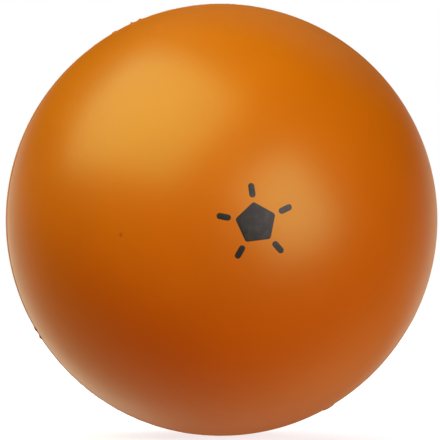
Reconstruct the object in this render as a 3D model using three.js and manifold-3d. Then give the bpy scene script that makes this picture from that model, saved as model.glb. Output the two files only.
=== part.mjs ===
// A soft foam ball, moulded in a two-part mould.
// Its foam core sits inside two skin halves that meet at the mould's parting line.
// The foam that rose into the parting gap and its vents was trimmed there.
// A small mark is printed on the front.
// Millimetres, +Z up. The origin is the ball's centre, the mould opens along Y, and the print faces -Y.

import * as THREE from "three";
import { mergeVertices } from "three/addons/utils/BufferGeometryUtils.js";
import Module from "manifold-3d";

const wasm = await Module();
wasm.setup();

// Ball and skin
const ballDiameter = 200;
const skinThickness = 1.6; // the dense layer that sets against the cold mould wall
const bondGap = 0.05; // between pieces that are bonded together
const lipRadius = 0.5; // round on each skin's outer edge at the parting line

// Trimmed moulding marks on the parting line
const flashThickness = 0.4;
const flashHeight = 0.25; // above the ball's surface, as every height here
const ventCount = 4;
const firstVentAngle = 30; // degrees, from +X towards +Z
const gateIndex = 3; // the vent place that the foam was poured through
const ventDiameter = 2.4;
const ventHeight = 0.45;
const gateDiameter = 6.5;
const gateHeight = 1.0;
const stubEdgeRadius = 0.35;

// Printed mark: a five-sided patch with a stroke off each corner
const inkThickness = 0.1;
const markTilt = 25; // degrees, anticlockwise as seen from the front
const patchSides = 5;
const patchRadius = 9.5; // centre to the sharp corner, before rounding
const patchCornerRadius = 1.4;
const strokeGap = 2.2; // from a rounded corner to the stroke beyond it
const strokeLength = 6.4;
const strokeWidth = 2.8;

// How finely round shapes are faceted
const turnSteps = 56;
const quarterSteps = 14;
const lipSteps = 3;
const stubSteps = 16;
const printSteps = 32;
const printRings = 6;
const cornerSteps = 5;

// Values that follow from the sizes above
const ballRadius = ballDiameter / 2;
const skinInnerRadius = ballRadius - skinThickness;
const coreRadius = skinInnerRadius - bondGap;
const rimOffset = flashThickness / 2 + bondGap; // from the parting plane to a skin's rim
const inkRadius = ballRadius + bondGap;
const patchHalfAngle = Math.PI / patchSides;
const cornerArcDistance = patchRadius - patchCornerRadius / Math.cos(patchHalfAngle);
const strokeStart = cornerArcDistance + patchCornerRadius + strokeGap; // from the mark's centre
const strokeEnd = strokeStart + strokeLength;
const southPole = -Math.PI / 2;

const skinMaterial = new THREE.MeshStandardMaterial({ color: 0xcf6a10, roughness: 0.42, metalness: 0 });
const foamMaterial = new THREE.MeshStandardMaterial({ color: 0xd98a45, roughness: 0.9, metalness: 0 });
const inkMaterial = new THREE.MeshStandardMaterial({ color: 0x2b2826, roughness: 0.45, metalness: 0 });

// Turns a closed geometry into a solid that can be joined and cut.
function solidFrom(geometry) {
  const bare = geometry.clone();
  bare.deleteAttribute("normal");
  bare.deleteAttribute("uv");
  const merged = mergeVertices(bare);
  return new wasm.Manifold(
    new wasm.Mesh({
      numProp: 3,
      vertProperties: new Float32Array(merged.attributes.position.array),
      triVerts: new Uint32Array(merged.index.array),
    }),
  );
}

function meshFrom(solid, name, material) {
  const { vertProperties, triVerts } = solid.getMesh();
  const geometry = new THREE.BufferGeometry();
  geometry.setAttribute("position", new THREE.BufferAttribute(vertProperties, 3));
  geometry.setIndex(new THREE.BufferAttribute(triVerts, 1));
  const mesh = new THREE.Mesh(geometry, material);
  mesh.name = name;
  return mesh;
}

// Points on an arc about a centre, both ends included. Angles are in radians from +X.
function arcPoints(centre, radius, from, to, steps) {
  return Array.from({ length: steps + 1 }, (_, i) => {
    const angle = from + ((to - from) * i) / steps;
    return new THREE.Vector2(centre.x + radius * Math.cos(angle), centre.y + radius * Math.sin(angle));
  });
}

// Revolves a profile of (distance from the axis, Y) about the Y axis, with its two ends exactly on the axis.
function revolve(profile, steps) {
  const first = profile[0].clone().setX(0);
  const last = profile.at(-1).clone().setX(0);
  return new THREE.LatheGeometry([first, ...profile.slice(1, -1), last], steps);
}

const ballCentre = new THREE.Vector2(0, 0);

// The angle, seen from the ball's centre, at which a sphere of this radius passes the height y.
function angleAtHeight(radius, y) {
  return Math.asin(y / radius);
}

// Section of the front skin: outer arc, rounded lip, flat rim at the parting line, and inner arc.
function skinProfile() {
  const rimY = -rimOffset;
  const lip = new THREE.Vector2();
  lip.y = rimY - lipRadius;
  lip.x = Math.sqrt((ballRadius - lipRadius) ** 2 - lip.y ** 2);
  const lipAngle = Math.atan2(lip.y, lip.x);
  return [
    ...arcPoints(ballCentre, ballRadius, southPole, lipAngle, quarterSteps),
    ...arcPoints(lip, lipRadius, lipAngle, Math.PI / 2, lipSteps).slice(1),
    ...arcPoints(ballCentre, skinInnerRadius, angleAtHeight(skinInnerRadius, rimY), southPole, quarterSteps),
  ];
}

// Section of the core: the foam sphere with the thin web of flash that stands out between the two skins.
function coreProfile() {
  const webY = flashThickness / 2;
  const webAngle = angleAtHeight(coreRadius, webY);
  const crest = ballRadius + flashHeight;
  return [
    ...arcPoints(ballCentre, coreRadius, southPole, -webAngle, quarterSteps),
    new THREE.Vector2(crest - webY, -webY),
    new THREE.Vector2(crest, 0),
    new THREE.Vector2(crest - webY, webY),
    ...arcPoints(ballCentre, coreRadius, webAngle, -southPole, quarterSteps),
  ];
}

// The vents and the gate sit on the parting line at equal angles.
const stubs = Array.from({ length: ventCount }, (_, i) => {
  const isGate = i === gateIndex;
  return {
    angle: THREE.MathUtils.degToRad(firstVentAngle + (i * 360) / ventCount),
    radius: (isGate ? gateDiameter : ventDiameter) / 2,
    height: isGate ? gateHeight : ventHeight,
  };
});

// A round stub whose axis runs out along the ball's radius, from inside the core to its trimmed end.
// Grown by a margin, it is the notch that the stub needs in the skins.
function stubSolid({ angle, radius, height }, margin) {
  const base = coreRadius - skinThickness;
  const top = ballRadius + height + margin;
  const width = radius + margin;
  const edge = new THREE.Vector2(width - stubEdgeRadius, top - stubEdgeRadius);
  const profile = [
    new THREE.Vector2(0, base),
    new THREE.Vector2(width, base),
    ...arcPoints(edge, stubEdgeRadius, 0, Math.PI / 2, lipSteps),
    new THREE.Vector2(0, top),
  ];
  const stub = revolve(profile, stubSteps);
  stub.rotateZ(-Math.PI / 2);
  stub.rotateY(-angle);
  return solidFrom(stub);
}

function foamCore() {
  const sphere = solidFrom(revolve(coreProfile(), turnSteps));
  return stubs.reduce((core, stub) => core.add(stubSolid(stub, 0)), sphere);
}

// The rear skin is the front one turned half a turn about Z, so that it faces +Y.
function skinHalf(turn) {
  const shell = revolve(skinProfile(), turnSteps);
  shell.rotateZ(turn);
  return stubs.reduce((skin, stub) => skin.subtract(stubSolid(stub, bondGap)), solidFrom(shell));
}

// The film of ink before it is cut to shape: a thin dish over the front pole.
function inkDish() {
  const reach = southPole + (strokeEnd + strokeWidth) / inkRadius;
  const profile = [
    ...arcPoints(ballCentre, inkRadius + inkThickness, southPole, reach, printRings),
    ...arcPoints(ballCentre, inkRadius, reach, southPole, printRings),
  ];
  return solidFrom(revolve(profile, printSteps));
}

// A regular polygon with rounded corners at the given angles.
function patchShape(cornerAngles) {
  const shape = new THREE.Shape();
  for (const angle of cornerAngles) {
    const x = cornerArcDistance * Math.cos(angle);
    const y = cornerArcDistance * Math.sin(angle);
    shape.absarc(x, y, patchCornerRadius, angle - patchHalfAngle, angle + patchHalfAngle, false);
  }
  shape.closePath();
  return shape;
}

// A bar with round ends, pointing away from the mark's centre.
function strokeShape(angle) {
  const endRadius = strokeWidth / 2;
  const along = new THREE.Vector2(Math.cos(angle), Math.sin(angle));
  const inner = along.clone().multiplyScalar(strokeStart + endRadius);
  const outer = along.clone().multiplyScalar(strokeEnd - endRadius);
  const quarter = Math.PI / 2;
  const shape = new THREE.Shape();
  shape.absarc(outer.x, outer.y, endRadius, angle - quarter, angle + quarter, false);
  shape.absarc(inner.x, inner.y, endRadius, angle + quarter, angle + 3 * quarter, false);
  shape.closePath();
  return shape;
}

// Cuts the ink dish to a shape drawn as it is seen from the front.
function inkSolid(shape) {
  const depth = inkRadius + inkThickness + strokeEnd;
  const prism = new THREE.ExtrudeGeometry(shape, { depth, bevelEnabled: false, curveSegments: cornerSteps });
  prism.rotateX(Math.PI / 2);
  return inkDish().intersect(solidFrom(prism));
}

const ball = new THREE.Group();
ball.add(meshFrom(foamCore(), "foam_core", foamMaterial));
ball.add(meshFrom(skinHalf(0), "front_skin", skinMaterial));
ball.add(meshFrom(skinHalf(Math.PI), "rear_skin", skinMaterial));

const cornerAngles = Array.from(
  { length: patchSides },
  (_, i) => THREE.MathUtils.degToRad(markTilt) + (i * 2 * Math.PI) / patchSides,
);
ball.add(meshFrom(inkSolid(patchShape(cornerAngles)), "print_patch", inkMaterial));
cornerAngles.forEach((angle, i) => {
  ball.add(meshFrom(inkSolid(strokeShape(angle)), `print_stroke_${i + 1}`, inkMaterial));
});

export default ball;
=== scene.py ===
import math

import bmesh
import bpy
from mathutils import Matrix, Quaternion, Vector


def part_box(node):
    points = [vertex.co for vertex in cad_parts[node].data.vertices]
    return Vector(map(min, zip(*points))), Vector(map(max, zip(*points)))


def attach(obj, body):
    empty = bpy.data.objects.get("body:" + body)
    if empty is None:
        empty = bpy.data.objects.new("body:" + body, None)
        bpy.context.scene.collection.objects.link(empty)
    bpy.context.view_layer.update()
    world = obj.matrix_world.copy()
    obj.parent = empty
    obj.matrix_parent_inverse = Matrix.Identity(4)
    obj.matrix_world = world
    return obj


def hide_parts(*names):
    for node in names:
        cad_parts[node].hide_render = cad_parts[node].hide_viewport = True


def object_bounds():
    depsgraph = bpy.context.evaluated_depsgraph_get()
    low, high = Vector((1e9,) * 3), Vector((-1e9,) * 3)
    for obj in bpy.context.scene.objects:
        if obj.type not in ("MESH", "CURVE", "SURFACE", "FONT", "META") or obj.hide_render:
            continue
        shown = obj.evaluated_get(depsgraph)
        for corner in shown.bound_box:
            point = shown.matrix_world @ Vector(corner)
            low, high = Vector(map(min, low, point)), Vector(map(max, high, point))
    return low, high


# A soft moulded foam ball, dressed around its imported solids.
# Metres, +Z up. The mould opened along Y and the print faces -Y.

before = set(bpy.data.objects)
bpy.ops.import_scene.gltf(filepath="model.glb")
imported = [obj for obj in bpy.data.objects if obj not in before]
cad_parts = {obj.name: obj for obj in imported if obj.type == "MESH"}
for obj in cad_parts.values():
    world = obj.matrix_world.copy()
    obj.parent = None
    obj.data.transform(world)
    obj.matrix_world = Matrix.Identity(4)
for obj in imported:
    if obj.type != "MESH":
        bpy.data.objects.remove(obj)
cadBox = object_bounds()
mm = 0.001

skinLow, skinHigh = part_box("front_skin")
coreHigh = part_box("foam_core")[1]
ballRadius = (skinHigh.x - skinLow.x) / 2
rimOffset = -skinHigh.y              # from the parting plane to a skin's rim
flashHeight = coreHigh.x - ballRadius
bondGap = 0.05 * mm                  # between bonded pieces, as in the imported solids
print("frame: ball radius", round(ballRadius, 4), "flash", round(flashHeight, 5))


# Node helpers: an expression on wires adds the Math nodes it needs.

class Wire:
    def __init__(self, board, socket):
        self.board = board
        self.socket = socket

    def maths(self, operation, *values):
        return self.board.add("ShaderNodeMath", {"operation": operation}, dict(enumerate(values)))

    def __add__(self, other):
        return self.maths("ADD", self, other)

    def __radd__(self, other):
        return self.maths("ADD", other, self)

    def __sub__(self, other):
        return self.maths("SUBTRACT", self, other)

    def __rsub__(self, other):
        return self.maths("SUBTRACT", other, self)

    def __mul__(self, other):
        return self.maths("MULTIPLY", self, other)

    def __rmul__(self, other):
        return self.maths("MULTIPLY", other, self)

    def __pow__(self, other):
        return self.maths("POWER", self, other)

    def atLeast(self, other):
        return self.maths("MAXIMUM", self, other)

    def atMost(self, other):
        return self.maths("MINIMUM", self, other)

    def isOver(self, other):
        return self.maths("GREATER_THAN", self, other)

    def size(self):
        return self.maths("ABSOLUTE", self)


class Board:
    def __init__(self, tree):
        self.tree = tree
        tree.nodes.clear()

    def add(self, kind, settings=None, inputs=None, output=0):
        node = self.tree.nodes.new(kind)
        for name, value in (settings or {}).items():
            setattr(node, name, value)
        for name, value in (inputs or {}).items():
            if isinstance(value, Wire):
                self.tree.links.new(value.socket, node.inputs[name])
            else:
                node.inputs[name].default_value = value
        outputs = node.outputs
        return Wire(self, outputs[output]) if len(outputs) else node

    def ramp(self, value, low, high, start=0.0, end=1.0):
        ends = {"Value": value, "From Min": low, "From Max": high, "To Min": start, "To Max": end}
        return self.add("ShaderNodeMapRange", {"interpolation_type": "SMOOTHSTEP"}, ends)

    def mixColour(self, factor, first, second):
        sides = {0: factor, 6: first, 7: second}
        return self.add("ShaderNodeMix", {"data_type": "RGBA"}, sides, output=2)

    def scaled(self, vector, factor):
        sides = {0: vector, "Scale": factor}
        return self.add("ShaderNodeVectorMath", {"operation": "SCALE"}, sides)


# Materials

skinFinish = {
    "colour": (0.64, 0.175, 0.0015, 1),
    "shadeColour": (0.61, 0.163, 0.0015, 1),   # where the pigment lies a little thicker
    # painted shade in the blow holes, darkest where a hole is deepest
    "pitShadeColour": (0.46, 0.10, 0.005, 1),
    "mottleScale": 22,
    "mottleEdges": (0.3, 0.7),
    "roughness": 0.37,
    "roughnessSpread": 0.05,
    "patchScale": 70,
    "ior": 1.5,
    "shine": 0.86,
    "shineTint": (0.54, 1.0, 0.34, 1),
    "grainScale": 1500,
    "grainRoughness": 0.6,
    "grainHeight": 0.02 * mm,
    "seamBand": 2.5 * mm,             # trimmed and rubbed strip on each side of the parting line
    "seamRoughness": 0.1,             # added in that strip
}


def objectPlaces(board):
    return board.add("ShaderNodeTexCoord", output="Object")


def noiseOn(board, places, scale, detail=3.0, roughness=0.5):
    inputs = {"Vector": places, "Scale": scale, "Detail": detail, "Roughness": roughness}
    return board.add("ShaderNodeTexNoise", {"noise_dimensions": "3D"}, inputs)


def newMaterial(name):
    material = bpy.data.materials.new(name)
    material.use_nodes = True
    return material, Board(material.node_tree)


def closeMaterial(board, shader):
    board.add("ShaderNodeOutputMaterial", None, {"Surface": shader})


def bump(board, height, distance):
    inputs = {"Height": height, "Distance": distance, "Strength": 1.0}
    return board.add("ShaderNodeBump", None, inputs)


def skinGrain(board, places, height):
    # the mould's fine grain, which the film of ink follows
    grain = noiseOn(board, places, skinFinish["grainScale"], roughness=skinFinish["grainRoughness"])
    return bump(board, grain, height)


def makeSkinMaterial():
    s = skinFinish
    material, board = newMaterial("satin_skin")
    places = objectPlaces(board)
    mottle = board.ramp(noiseOn(board, places, s["mottleScale"]), *s["mottleEdges"])
    colour = board.mixColour(mottle, s["shadeColour"], s["colour"])
    # the blow holes are darkened by painted shade, mixed in by their depth
    pitShade = board.add("ShaderNodeAttribute", {"attribute_name": "pitShade"}, output="Fac")
    colour = board.mixColour(pitShade, colour, s["pitShadeColour"])
    apart = board.add("ShaderNodeSeparateXYZ", None, {0: places}, output="Y").size()
    rubbed = 1 - board.ramp(apart, 0.0, s["seamBand"])
    patchy = noiseOn(board, places, s["patchScale"])
    roughness = s["roughness"] + (patchy - 0.5) * s["roughnessSpread"] + rubbed * s["seamRoughness"]
    shader = board.add("ShaderNodeBsdfPrincipled", None, {
        "Base Color": colour,
        "Roughness": roughness,
        "IOR": s["ior"],
        "Specular IOR Level": s["shine"],
        "Specular Tint": s["shineTint"],
        "Normal": skinGrain(board, places, s["grainHeight"]),
    })
    closeMaterial(board, shader)
    return material


foamFinish = {
    "wallColour": (0.66, 0.24, 0.05, 1),
    # painted shade in the hollow cells, which the bump sets lower than the walls
    "cellShadeColour": (0.36, 0.10, 0.02, 1),
    "cellScale": 2000,
    "cellDepth": 0.08 * mm,
    "wallEdges": (0.02, 0.22),
    "roughness": 0.88,
}


def makeFoamMaterial():
    s = foamFinish
    material, board = newMaterial("cut_foam")
    places = objectPlaces(board)
    cells = board.add("ShaderNodeTexVoronoi", {"feature": "DISTANCE_TO_EDGE"},
                      {"Vector": places, "Scale": s["cellScale"]})
    # the cells are darker than the walls: painted shade in the hollows
    wall = 1 - board.ramp(cells, *s["wallEdges"])
    colour = board.mixColour(wall, s["cellShadeColour"], s["wallColour"])
    shader = board.add("ShaderNodeBsdfPrincipled", None, {
        "Base Color": colour,
        "Roughness": s["roughness"],
        "Normal": bump(board, wall, s["cellDepth"]),
    })
    closeMaterial(board, shader)
    return material


inkFinish = {
    "colour": (0.011, 0.017, 0.013, 1),
    "thinColour": (0.024, 0.030, 0.022, 1),   # where the film of ink is thinner
    "coverScale": 260,
    "coverDetail": 4.0,
    "coverEdges": (0.35, 0.6),
    "roughness": 0.40,
    "roughnessSpread": 0.04,
    "ior": 1.45,
    "grainHeight": 0.01 * mm,
}


def makeInkMaterial():
    s = inkFinish
    material, board = newMaterial("printed_ink")
    places = objectPlaces(board)
    cover = board.ramp(noiseOn(board, places, s["coverScale"], s["coverDetail"]), *s["coverEdges"])
    colour = board.mixColour(cover, s["thinColour"], s["colour"])
    shader = board.add("ShaderNodeBsdfPrincipled", None, {
        "Base Color": colour,
        "Roughness": s["roughness"] + (cover - 0.5) * s["roughnessSpread"],
        "IOR": s["ior"],
        "Normal": skinGrain(board, places, s["grainHeight"]),
    })
    closeMaterial(board, shader)
    return material


skinMaterial = makeSkinMaterial()
foamMaterial = makeFoamMaterial()
inkMaterial = makeInkMaterial()
print("materials:", skinMaterial.name, foamMaterial.name, inkMaterial.name)


# Geometry Nodes helpers

meshing = {
    "mergeDistance": 0.002 * mm,
    "sharpAngle": 0.6,                # edges past it keep a crease
    "cutFacing": 0.85,                # how squarely a cut face looks outwards
}


def outwardHere(board):
    # the direction away from the ball's centre
    place = board.add("GeometryNodeInputPosition")
    return board.add("ShaderNodeVectorMath", {"operation": "NORMALIZE"}, {0: place})


def aboveBall(board):
    place = board.add("GeometryNodeInputPosition")
    far = board.add("ShaderNodeVectorMath", {"operation": "LENGTH"}, {0: place}, output="Value")
    return far - ballRadius


def newTree(name, sizes):
    tree = bpy.data.node_groups.new(name, "GeometryNodeTree")
    tree.interface.new_socket("Geometry", in_out="INPUT", socket_type="NodeSocketGeometry")
    for label, value in sizes.items():
        kind = "NodeSocketInt" if isinstance(value, int) else "NodeSocketFloat"
        tree.interface.new_socket(label, in_out="INPUT", socket_type=kind)
    tree.interface.new_socket("Geometry", in_out="OUTPUT", socket_type="NodeSocketGeometry")
    board = Board(tree)
    entry = board.add("NodeGroupInput").socket.node
    return board, {socket.name: Wire(board, socket) for socket in entry.outputs if socket.name}


def closeTree(board, geometry, material, sharpAngle=meshing["sharpAngle"], cutAbove=None):
    # smooth faces with creases, and bare foam where a face was cut off above the ball
    angle = board.add("GeometryNodeInputMeshEdgeAngle")
    sharp = board.add("FunctionNodeCompare", {"operation": "GREATER_THAN"}, {0: angle, 1: sharpAngle})
    whole = board.add("GeometryNodeRealizeInstances", None, {0: geometry})
    smooth = board.add("GeometryNodeSetShadeSmooth", {"domain": "FACE"}, {0: whole, "Shade Smooth": True})
    edged = board.add("GeometryNodeSetShadeSmooth", {"domain": "EDGE"},
                      {0: smooth, "Selection": sharp, "Shade Smooth": False})
    painted = board.add("GeometryNodeSetMaterial", None, {0: edged, "Material": material})
    if cutAbove is not None:
        normal = board.add("GeometryNodeInputNormal")
        facing = board.add("ShaderNodeVectorMath", {"operation": "DOT_PRODUCT"},
                           {0: normal, 1: outwardHere(board)}, output="Value")
        cut = aboveBall(board).isOver(cutAbove) * facing.isOver(meshing["cutFacing"])
        painted = board.add("GeometryNodeSetMaterial", None,
                            {0: painted, "Selection": cut, "Material": foamMaterial})
    board.add("NodeGroupOutput", None, {0: painted})


def makePiece(name, board, sizes, source=None):
    # runs the tree once and keeps its result as a plain mesh
    tree = board.tree
    piece = bpy.data.objects.new(name, source or bpy.data.meshes.new(name))
    bpy.context.scene.collection.objects.link(piece)
    modifier = piece.modifiers.new("shape", "NODES")
    modifier.node_group = tree
    for item in tree.interface.items_tree:
        if item.in_out == "INPUT" and item.name in sizes:
            modifier[item.identifier] = sizes[item.name]
    shown = piece.evaluated_get(bpy.context.evaluated_depsgraph_get())
    plain = bpy.data.meshes.new_from_object(shown)
    piece.modifiers.remove(modifier)
    piece.data = plain
    plain.name = name
    faceOutwards(plain)
    return piece


def faceOutwards(mesh):
    shape = bmesh.new()
    shape.from_mesh(mesh)
    if shape.calc_volume(signed=True) < 0:
        bmesh.ops.reverse_faces(shape, faces=shape.faces)
    shape.to_mesh(mesh)
    shape.free()


def chain(name, points, closed=False):
    # a section to revolve or sweep: (out from the axis, along the axis)
    mesh = bpy.data.meshes.new(name)
    edges = [(i, i + 1) for i in range(len(points) - 1)]
    if closed:
        edges.append((len(points) - 1, 0))
    mesh.from_pydata([(x, y, 0) for x, y in points], edges, [])
    return mesh


def arc(centre, radius, start, end, steps):
    angles = [start + (end - start) * i / steps for i in range(steps + 1)]
    return [(centre[0] + radius * math.cos(a), centre[1] + radius * math.sin(a)) for a in angles]


def sweepRound(board, section, radius, steps):
    # carries a section round the Y axis, on a circle of this radius
    circle = board.add("GeometryNodeCurvePrimitiveCircle", {"mode": "RADIUS"},
                       {"Resolution": steps, "Radius": radius})
    level = board.add("GeometryNodeSetCurveNormal", {"mode": "Z_UP"}, {0: circle})
    profile = board.add("GeometryNodeMeshToCurve", None, {0: section})
    band = board.add("GeometryNodeCurveToMesh", None, {0: level, "Profile Curve": profile})
    turned = board.add("GeometryNodeTransform", None, {0: band, "Rotation": (math.pi / 2, 0, 0)})
    return board.add("GeometryNodeMergeByDistance", None, {0: turned, "Distance": meshing["mergeDistance"]})


unevenness = {"height": 0.16 * mm, "scale": 1.7, "detail": 1.0, "seed": 4.0}


def swell(board, geometry):
    # every piece at the surface follows the same slight out-of-round of the moulding
    u = unevenness
    outward = outwardHere(board)
    rise = board.add("ShaderNodeTexNoise", {"noise_dimensions": "4D"},
                     {"Vector": outward, "W": u["seed"], "Scale": u["scale"], "Detail": u["detail"]})
    step = board.scaled(outward, (rise - 0.5) * u["height"])
    return board.add("GeometryNodeSetPosition", None, {0: geometry, "Offset": step})


# Skin halves: the section is revolved, and the rear one is the front one turned half a turn.

skin = {
    "thickness": 1.6 * mm,
    "lipRadius": 0.5 * mm,
    "rings": 84,
    "innerRings": 28,
    "lipSteps": 6,
    "steps": 300,
}


def skinSection():
    rim = -rimOffset
    lip = skin["lipRadius"]
    inside = ballRadius - skin["thickness"]
    lipY = rim - lip
    lipX = math.sqrt((ballRadius - lip) ** 2 - lipY ** 2)
    lipAngle = math.atan2(lipY, lipX)
    pole = -math.pi / 2
    outer = arc((0, 0), ballRadius, pole, lipAngle, skin["rings"])
    edge = arc((lipX, lipY), lip, lipAngle, math.pi / 2, skin["lipSteps"])
    inner = arc((0, 0), inside, math.asin(rim / inside), pole, skin["innerRings"])
    return outer + edge[1:] + inner


def makeSkinHalf(name, turn):
    sizes = {"Path Radius": ballRadius / 2, "Steps": skin["steps"], "Turn": turn}
    board, given = newTree(name + "_tree", sizes)
    shell = sweepRound(board, given["Geometry"], given["Path Radius"], given["Steps"])
    turned = board.add("GeometryNodeTransform", None, {
        0: shell,
        "Rotation": board.add("ShaderNodeCombineXYZ", None, {"Z": given["Turn"]}),
    })
    closeTree(board, swell(board, turned), skinMaterial)
    section = [(x - sizes["Path Radius"], y) for x, y in skinSection()]
    return makePiece(name, board, sizes, chain(name + "_section", section))


frontSkin = makeSkinHalf("skin_front", 0.0)
rearSkin = makeSkinHalf("skin_rear", math.pi)


# Blow holes: a tiny open bubble in the skin, with a fine mesh of its own, darkened inside by painted shade.

blowHoles = [
    {"half": frontSkin, "towards": (-0.578, -0.814, -0.055), "radius": 1.35 * mm, "depth": 0.09 * mm},
    {"half": rearSkin, "towards": (0.30, 0.78, -0.55), "radius": 0.90 * mm, "depth": 0.08 * mm},
    {"half": rearSkin, "towards": (-0.62, 0.52, 0.59), "radius": 1.05 * mm, "depth": 0.08 * mm},
]
holeMesh = {
    "reach": 4 * mm,                  # how far out the mesh is made finer
    "reachInRadii": 2,                # and where it is made finer still
    "cuts": 3,
    "steepness": 1.5,
}


def refine(shape, centre, reach):
    edges = {e for f in shape.faces if (f.calc_center_median() - centre).length < reach for e in f.edges}
    bmesh.ops.subdivide_edges(shape, edges=list(edges), cuts=holeMesh["cuts"], use_grid_fill=True)


def pressHoles(half):
    shape = bmesh.new()
    shape.from_mesh(half.data)
    pitShadeMask = shape.verts.layers.float.new("pitShade")
    for hole in blowHoles:
        if hole["half"] is not half:
            continue
        outward = Vector(hole["towards"]).normalized()
        nearest = min((v.co for v in shape.verts), key=lambda c: (c - outward * ballRadius).length)
        centre = outward * nearest.length
        refine(shape, centre, holeMesh["reach"])
        refine(shape, centre, holeMesh["reachInRadii"] * hole["radius"])
        for vertex in shape.verts:
            away = (vertex.co - centre).length / hole["radius"]
            if away < 1:
                dip = (1 - away * away) ** holeMesh["steepness"]
                vertex.co -= outward * hole["depth"] * dip
                # the depth also sets how much painted shade the hole gets
                vertex[pitShadeMask] = dip
    shape.to_mesh(half.data)
    shape.free()


for half in (frontSkin, rearSkin):
    pressHoles(half)
    print(half.name, len(half.data.polygons), "faces")


# Foam core: it fills the inside, and only its trimmed edge shows at the parting line.

core = {"subdivisions": 6, "cellScale": 420, "cellDetail": 2.0, "cellDepth": 0.25 * mm}


def makeCore():
    sizes = {"Radius": coreHigh.y, "Subdivisions": core["subdivisions"], "Cell Depth": core["cellDepth"]}
    board, given = newTree("core_foam_tree", sizes)
    ball = board.add("GeometryNodeMeshIcoSphere", None, {
        "Radius": given["Radius"] - 0.5 * given["Cell Depth"],
        "Subdivisions": given["Subdivisions"],
    })
    place = board.add("GeometryNodeInputPosition")
    cells = noiseOn(board, place, core["cellScale"], core["cellDetail"])
    step = board.scaled(outwardHere(board), (cells - 0.5) * given["Cell Depth"])
    rough = board.add("GeometryNodeSetPosition", None, {0: ball, "Offset": step})
    closeTree(board, rough, foamMaterial, sharpAngle=math.pi)
    return makePiece("core_foam", board, sizes)


# Flash: the thin web of foam in the parting gap, torn off just above the skin.

flash = {
    "root": 2.2 * mm,
    "halfWidth": rimOffset - bondGap,
    "crestDrop": 0.05 * mm,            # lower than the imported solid's crest, to leave room for tearing
    "tipSteps": 6,
    "tear": 0.40 * mm,
    "tearLevel": 0.55,                 # the noise's value that leaves the crest where it is
    "tearScale": 30,                   # on the unit ball
    "tearDetail": 4.0,
    "tearRoughness": 0.65,
    "tearDepth": 0.3 * mm,             # below the ball's surface nothing is torn past this
    "cutAbove": 0.10 * mm,
    "steps": 1200,
    "tags": [                          # places where a scrap was left on, by angle from +X towards +Z
        {"angle": math.radians(112.4), "width": math.radians(0.8), "height": 0.50 * mm},
        {"angle": math.radians(114.8), "width": math.radians(0.5), "height": 0.70 * mm},
        {"angle": math.radians(-147.5), "width": math.radians(0.8), "height": 0.45 * mm},
        {"angle": math.radians(-20.0), "width": math.radians(0.6), "height": 0.40 * mm},
    ],
}


def flashSection():
    half = flash["halfWidth"]
    root = flash["root"]
    crest = flashHeight - flash["crestDrop"]
    tip = arc((crest - half, 0), half, -math.pi / 2, math.pi / 2, flash["tipSteps"])
    return [(-root, -half), (-root / 2, -half)] + tip + [(-root / 2, half), (-root, half)]


def makeFlash():
    sizes = {"Path Radius": ballRadius, "Steps": flash["steps"], "Tear": flash["tear"]}
    board, given = newTree("flash_tree", sizes)
    web = sweepRound(board, given["Geometry"], given["Path Radius"], given["Steps"])
    outward = outwardHere(board)
    torn = noiseOn(board, outward, flash["tearScale"], flash["tearDetail"], flash["tearRoughness"])
    near = board.ramp(aboveBall(board), -flash["tearDepth"], 0.0)
    across = board.add("ShaderNodeSeparateXYZ", None, {0: outward}, output="X")
    upward = board.add("ShaderNodeSeparateXYZ", None, {0: outward}, output="Z")
    angle = upward.maths("ARCTAN2", upward, across)
    rise = (torn - flash["tearLevel"]) * given["Tear"]
    for tag in flash["tags"]:
        rise = rise + board.ramp((angle - tag["angle"]).size(), 0.0, tag["width"], tag["height"], 0.0)
    ragged = board.add("GeometryNodeSetPosition", None,
                       {0: web, "Offset": board.scaled(outward, rise * near)})
    closeTree(board, swell(board, ragged), skinMaterial, cutAbove=flash["cutAbove"])
    return makePiece("flash_web", board, sizes, chain("flash_section", flashSection(), closed=True))


# Stubs: foam trimmed off where the vents and the gate let it out of the mould.

stub = {
    "count": 4,
    "firstAngle": math.radians(30),    # from +X towards +Z
    "gateIndex": 3,
    "radius": 1.2 * mm,
    "height": 0.45 * mm,
    "gateRadius": 3.25 * mm,
    "gateHeight": 1.0 * mm,
    "root": 1.2 * mm,
    "edge": 0.18 * mm,
    "edgeSteps": 5,
    "footSteps": 4,
    "capRings": (0.55, 0.35, 0.15, 0.0),   # shares of the radius
    "steps": 48,
    "tear": 0.12 * mm,
    "tearScale": 90,                   # on the unit ball
    "cutAbove": 0.28 * mm,
}


def stubSection():
    edge = stub["edge"]
    corner = arc((stub["radius"] - edge, stub["height"] - edge), edge, 0, math.pi / 2, stub["edgeSteps"])
    foot = arc((stub["radius"] + edge, edge), edge, -math.pi / 2, -math.pi, stub["footSteps"])
    cap = [(stub["radius"] * share, stub["height"]) for share in stub["capRings"]]
    return [(0.0, -stub["root"]), (stub["radius"] + edge, -stub["root"])] + foot + corner + cap


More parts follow.
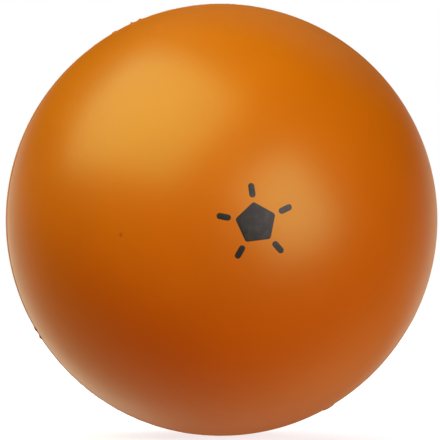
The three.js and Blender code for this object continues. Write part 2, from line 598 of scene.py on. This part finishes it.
def makeStubs():
    sizes = {"Path Radius": ballRadius, "Count": stub["count"], "Gate Index": stub["gateIndex"],
             "First Angle": stub["firstAngle"], "Steps": stub["steps"], "Tear": stub["tear"]}
    board, given = newTree("stub_tree", sizes)
    upright = sweepRound(board, given["Geometry"], stub["radius"] / 2, given["Steps"])
    ring = board.add("GeometryNodeMeshCircle", None,
                     {"Vertices": given["Count"], "Radius": given["Path Radius"]})
    turn = board.add("ShaderNodeCombineXYZ", None, {"X": math.pi / 2, "Y": 0 - given["First Angle"]})
    stood = board.add("GeometryNodeTransform", None, {0: ring, "Rotation": turn})
    place = board.add("GeometryNodeInputPosition")
    aim = board.add("FunctionNodeAlignRotationToVector", {"axis": "Y"}, {"Vector": place})
    index = board.add("GeometryNodeInputIndex")
    isGate = 1 - (index - given["Gate Index"]).size().atMost(1)
    wide = 1 + isGate * (stub["gateRadius"] / stub["radius"] - 1)
    tall = 1 + isGate * (stub["gateHeight"] / stub["height"] - 1)
    scale = board.add("ShaderNodeCombineXYZ", None, {"X": wide, "Y": tall, "Z": wide})
    spread = board.add("GeometryNodeInstanceOnPoints", None,
                       {"Points": stood, "Instance": upright, "Rotation": aim, "Scale": scale})
    whole = board.add("GeometryNodeRealizeInstances", None, {0: spread})
    outward = outwardHere(board)
    torn = noiseOn(board, outward, stub["tearScale"])
    step = board.scaled(outward, (torn - 0.5) * given["Tear"])
    ragged = board.add("GeometryNodeSetPosition", None, {0: whole, "Offset": step})
    closeTree(board, swell(board, ragged), skinMaterial, cutAbove=stub["cutAbove"])
    section = [(x - stub["radius"] / 2, y) for x, y in stubSection()]
    return makePiece("vent_stubs", board, sizes, chain("stub_section", section))


# Print: thin islands of ink that lie on the front skin. Outlines are drawn as seen from the front.

mark = {
    "sides": 5,
    "tilt": math.radians(25),
    "radius": 9.5 * mm,
    "cornerRadius": 1.4 * mm,
    "strokeGap": 2.2 * mm,
    "strokeLength": 6.4 * mm,
    "strokeWidth": 2.8 * mm,
    "cornerSteps": 8,
    "endSteps": 12,
    "outlineStep": 0.5 * mm,
    "under": 0.04 * mm,                # sunk into the skin
    "film": 0.07 * mm,
    "edge": 0.25 * mm,                 # width of the rounded edge
    "underRings": 6,
    "topRings": 8,
    "shoulders": (0.5, 0.85),          # heights of the rounded edge, as shares of the film
}
cornerDistance = mark["radius"] - mark["cornerRadius"] / math.cos(math.pi / mark["sides"])


def patchOutline():
    half = math.pi / mark["sides"]
    outline = []
    for i in range(mark["sides"]):
        angle = mark["tilt"] + 2 * half * i
        centre = (cornerDistance * math.cos(angle), cornerDistance * math.sin(angle))
        outline += arc(centre, mark["cornerRadius"], angle - half, angle + half, mark["cornerSteps"])
    return thicken(outline, mark["outlineStep"])


def strokeOutline():
    end = mark["strokeWidth"] / 2
    start = cornerDistance + mark["cornerRadius"] + mark["strokeGap"] + end
    stop = start + mark["strokeLength"] - 2 * end
    angle = mark["tilt"]
    inner = (start * math.cos(angle), start * math.sin(angle))
    outer = (stop * math.cos(angle), stop * math.sin(angle))
    quarter = math.pi / 2
    outline = arc(outer, end, angle - quarter, angle + quarter, mark["endSteps"])
    outline += arc(inner, end, angle + quarter, angle + 3 * quarter, mark["endSteps"])
    return thicken(outline, mark["outlineStep"])


def thicken(outline, step):
    # adds points along the straight sides, so that they bend with the ball
    dense = []
    for i, (x, y) in enumerate(outline):
        nextX, nextY = outline[(i + 1) % len(outline)]
        count = max(1, round(math.hypot(nextX - x, nextY - y) / step))
        dense += [(x + (nextX - x) * k / count, y + (nextY - y) * k / count) for k in range(count)]
    return dense


def onBall(x, z, height):
    radius = ballRadius + height
    return (x, -math.sqrt(radius * radius - x * x - z * z), z)


def inkIsland(name, outline):
    centreX = sum(p[0] for p in outline) / len(outline)
    centreZ = sum(p[1] for p in outline) / len(outline)
    reach = min(math.hypot(x - centreX, z - centreZ) for x, z in outline)
    inset = 1 - mark["edge"] / reach
    high = mark["film"]
    low = -mark["under"]
    under, top = mark["underRings"], mark["topRings"]
    lower, upper = mark["shoulders"]
    rings = [(low, t / under) for t in range(1, under + 1)]
    rings += [(lower * high, 1.0), (upper * high, (1 + inset) / 2)]
    rings += [(high, inset * t / top) for t in range(top, 0, -1)]
    shape = bmesh.new()
    rows = []
    for height, size in rings:
        row = [(centreX + (x - centreX) * size, centreZ + (z - centreZ) * size) for x, z in outline]
        rows.append([shape.verts.new(onBall(x, z, height)) for x, z in row])
    count = len(outline)
    for first, second in zip(rows, rows[1:]):
        for i in range(count):
            k = (i + 1) % count
            shape.faces.new((first[i], first[k], second[k], second[i]))
    for row, height in ((rows[0], low), (rows[-1], high)):
        middle = shape.verts.new(onBall(centreX, centreZ, height))
        for i in range(count):
            shape.faces.new((row[i], row[(i + 1) % count], middle))
    bmesh.ops.recalc_face_normals(shape, faces=shape.faces)
    mesh = bpy.data.meshes.new(name)
    shape.to_mesh(mesh)
    shape.free()
    return mesh


def makePrint(name, outline, count):
    # turns copies of one island of ink about the mark's centre
    sizes = {"Count": count, "Step": 2 * math.pi / mark["sides"]}
    board, given = newTree(name + "_tree", sizes)
    places = board.add("GeometryNodePoints", None, {"Count": given["Count"]})
    index = board.add("GeometryNodeInputIndex")
    turn = board.add("ShaderNodeCombineXYZ", None, {"Y": 0 - index * given["Step"]})
    spread = board.add("GeometryNodeInstanceOnPoints", None,
                       {"Points": places, "Instance": given["Geometry"], "Rotation": turn})
    whole = board.add("GeometryNodeRealizeInstances", None, {0: spread})
    closeTree(board, swell(board, whole), inkMaterial)
    return makePiece(name, board, sizes, inkIsland(name + "_island", outline))


coreFoam = makeCore()
flashWeb = makeFlash()
ventStubs = makeStubs()
printPatch = makePrint("print_patch_ink", patchOutline(), 1)
printStrokes = makePrint("print_stroke_ink", strokeOutline(), mark["sides"])

strokeNodes = ["print_stroke_" + str(i + 1) for i in range(mark["sides"])]
dressing = [
    (frontSkin, "skin", ["front_skin"]),
    (rearSkin, "skin", ["rear_skin"]),
    (coreFoam, "foam", ["foam_core"]),
    (flashWeb, "foam", ["foam_core"]),
    (ventStubs, "foam", ["foam_core"]),
    (printPatch, "ink", ["print_patch"]),
    (printStrokes, "ink", strokeNodes),
]
for piece, slot, nodes in dressing:
    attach(piece, "root")
    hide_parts(*nodes)
    print("piece", piece.name, len(piece.data.polygons), "faces")


# Camera

view = {
    "azimuth": math.radians(-8.8),
    "elevation": math.radians(0.8),
    "distance": 2.0,
    "sensorWidth": 36,
    "imageWidth": 440,
    "ballPixels": 215.95,               # the ball's radius in the picture
    "offsetPixels": (1.50, 0.08),        # its centre, right of and above the picture's
}


def makeCamera():
    az, el = view["azimuth"], view["elevation"]
    toCamera = Vector((math.sin(az) * math.cos(el), -math.cos(az) * math.cos(el), math.sin(el)))
    lens = bpy.data.cameras.new("camera")
    camera = bpy.data.objects.new("camera", lens)
    bpy.context.scene.collection.objects.link(camera)
    camera.location = toCamera * view["distance"]
    camera.rotation_euler = toCamera.to_track_quat("Z", "Y").to_euler()
    half = math.tan(math.asin(ballRadius / view["distance"]))
    lens.sensor_width = view["sensorWidth"]
    lens.lens = view["ballPixels"] / half * view["sensorWidth"] / view["imageWidth"]
    lens.shift_x = -view["offsetPixels"][0] / view["imageWidth"]
    lens.shift_y = -view["offsetPixels"][1] / view["imageWidth"]
    bpy.context.scene.camera = camera
    turn = camera.rotation_euler.to_matrix()
    return [turn @ Vector(axis) for axis in ((1, 0, 0), (0, 1, 0), (0, 0, 1))]


right, up, toCamera = makeCamera()
print("camera: lens", round(bpy.context.scene.camera.data.lens, 1), "mm")


def seen(x, y, z):
    # a direction given as the camera sees it: right, up, towards it
    return (right * x + up * y + toCamera * z).normalized()


# Lamps: a large soft box high on the left, a smaller one low on the right, and one at the back.

lamps = [
    {"name": "soft_box", "azimuth": -57.0, "elevation": 51.0, "turn": 0, "distance": 0.9,
     "width": 1.25, "height": 1.0, "power": 10.7, "colour": (0.99, 1.0, 0.65)},
    {"name": "side_lamp", "azimuth": 34.5, "elevation": 6.0, "turn": 30, "distance": 1.2,
     "width": 0.80, "height": 1.0, "power": 9.6, "colour": (1.0, 0.84, 0.85)},
    {"name": "back_lamp", "azimuth": 168, "elevation": 30, "turn": 0, "distance": 1.2,
     "width": 1.0, "height": 1.0, "power": 14.0, "colour": (1.0, 1.0, 1.0), "shines": False},
]


def makeLamp(box):
    # angles are as the camera sees them: azimuth to its right, elevation up
    az, el = math.radians(box["azimuth"]), math.radians(box["elevation"])
    towards = seen(math.sin(az) * math.cos(el), math.sin(el), math.cos(az) * math.cos(el))
    light = bpy.data.lights.new(box["name"], "AREA")
    light.shape = "RECTANGLE"
    light.size = box["width"]
    light.size_y = box["height"]
    light.energy = box["power"]
    light.color = box["colour"]
    lamp = bpy.data.objects.new(box["name"], light)
    bpy.context.scene.collection.objects.link(lamp)
    lamp.location = towards * box["distance"]
    spin = Quaternion((0, 0, 1), math.radians(box["turn"]))
    lamp.rotation_euler = (towards.to_track_quat("Z", "Y") @ spin).to_euler()
    lamp.visible_camera = False
    lamp.visible_glossy = box.get("shines", True)


for box in lamps:
    makeLamp(box)
print("lamps:", ", ".join(box["name"] for box in lamps))


# World: white to the camera, with a little even light.
# Reflections see a pale glow beside the ball and a warm one low behind it.
# Places in it are parts of a unit direction, as the camera sees it.

surround = {
    "backdrop": (1, 1, 1, 1),
    "even": (0.020, 0.004, 0.002, 1),
    "sideColour": (1.0, 0.95, 0.74, 1),
    "left": 1.93,
    "right": 1.36,
    "sideEdges": (0.05, 0.3),          # sideways, from none to full
    "sideTop": 0.28,                   # upwards, where it has faded
    "rightFoot": (-0.45, -0.15),       # upwards, from none to full, on the right
    "sideFalloff": 4,
    "under": 0.45,
    "underEdges": (0.3, 1.0),          # downwards, from none to full
    "underDepth": (-0.5, 0.3),         # backwards, from none to full
    "lowColour": (1.0, 0.57, 0.22, 1),   # ground that the ball's own colour falls on
    "lowLeft": 2.75,
    "lowRight": 3.10,
    "lowOverlap": 0.2,
}


def makeWorld():
    world = bpy.data.worlds.new("studio")
    bpy.context.scene.world = world
    world.use_nodes = True
    world.cycles.sampling_method = "NONE"
    board = Board(world.node_tree)
    facing = board.add("ShaderNodeTexCoord", output="Generated")

    def along(axis):
        return board.add("ShaderNodeVectorMath", {"operation": "DOT_PRODUCT"},
                         {0: facing, 1: tuple(axis)}, output="Value")

    s = surround
    rightward, upward, backward = along(right), along(up), along(-toCamera)
    leftward, downward = 0 - rightward, 0 - upward
    behind = backward.atLeast(0)
    leftGlow = board.ramp(leftward, *s["sideEdges"]) * s["left"]
    rightGlow = board.ramp(rightward, *s["sideEdges"]) * board.ramp(upward, *s["rightFoot"]) * s["right"]
    fading = board.ramp(upward, 0.0, s["sideTop"], 1.0, 0.0) * behind ** s["sideFalloff"]
    beside = (leftGlow + rightGlow) * fading
    under = board.ramp(downward, *s["underEdges"]) * board.ramp(backward, *s["underDepth"]) * s["under"]
    lowLeft = (leftward + s["lowOverlap"]).atLeast(0) * s["lowLeft"]
    lowRight = (rightward + s["lowOverlap"]).atLeast(0) * s["lowRight"]
    low = (lowLeft + lowRight) * downward.atLeast(0) * behind
    path = {name: board.add("ShaderNodeLightPath", output=name)
            for name in ("Is Camera Ray", "Is Glossy Ray", "Is Transmission Ray")}
    even = board.add("ShaderNodeBackground", None, {"Color": s["even"], "Strength": 1.0})
    pale = board.add("ShaderNodeBackground", None, {"Color": s["sideColour"], "Strength": beside + under})
    warm = board.add("ShaderNodeBackground", None, {"Color": s["lowColour"], "Strength": low})
    shine = board.add("ShaderNodeAddShader", None, {0: pale, 1: warm})
    white = board.add("ShaderNodeBackground", None, {"Color": s["backdrop"], "Strength": 1.0})
    lit = board.add("ShaderNodeMixShader", None, {0: path["Is Glossy Ray"], 1: even, 2: shine})
    clear = path["Is Camera Ray"].atLeast(path["Is Transmission Ray"])
    shown = board.add("ShaderNodeMixShader", None, {0: clear, 1: lit, 2: white})
    board.add("ShaderNodeOutputWorld", None, {"Surface": shown})


makeWorld()


# Floor: pale, white to the camera away from the ball, with a faint shadow under it.

floor = {
    "size": 8.0,
    "colour": (0.45, 0.45, 0.45, 1),
    "bounce": (0.40, 0.048, 0.06, 1),   # what it throws back at the ball is warm
    "nearColour": (0.78, 0.78, 0.78, 1),
    "farColour": (1, 1, 1, 1),
    "whiteFrom": 0.05,                  # beyond the ball
    "whiteTo": 0.5,
}


def makeFloor():
    s = floor
    material, board = newMaterial("floor")
    place = board.add("ShaderNodeNewGeometry", output="Position")
    away = board.add("ShaderNodeVectorMath", {"operation": "LENGTH"}, {0: place}, output="Value")
    lift = board.ramp(away, s["whiteFrom"] + ballRadius, s["whiteTo"])
    glare = board.mixColour(lift, s["nearColour"], s["farColour"])
    plain = board.add("ShaderNodeBsdfDiffuse", None, {"Color": s["colour"]})
    warm = board.add("ShaderNodeEmission", None, {"Color": s["bounce"], "Strength": 1.0})
    white = board.add("ShaderNodeEmission", None, {"Color": glare, "Strength": 1.0})
    both = board.add("ShaderNodeAddShader", None, {0: plain, 1: white})
    camera = board.add("ShaderNodeLightPath", output="Is Camera Ray")
    closeMaterial(board, board.add("ShaderNodeMixShader", None, {0: camera, 1: warm, 2: both}))
    half = s["size"] / 2
    level = cadBox[0][2]
    mesh = bpy.data.meshes.new("floor")
    corners = [(-half, -half, level), (half, -half, level), (half, half, level), (-half, half, level)]
    mesh.from_pydata(corners, [], [(0, 1, 2, 3)])
    mesh.materials.append(material)
    ground = bpy.data.objects.new("floor", mesh)
    bpy.context.scene.collection.objects.link(ground)
    ground.visible_glossy = False
    ground.visible_shadow = False      # the side lamp reaches lower than the floor


makeFloor()
print("surroundings: world and floor")

bpy.context.scene.view_settings.view_transform = "Standard"
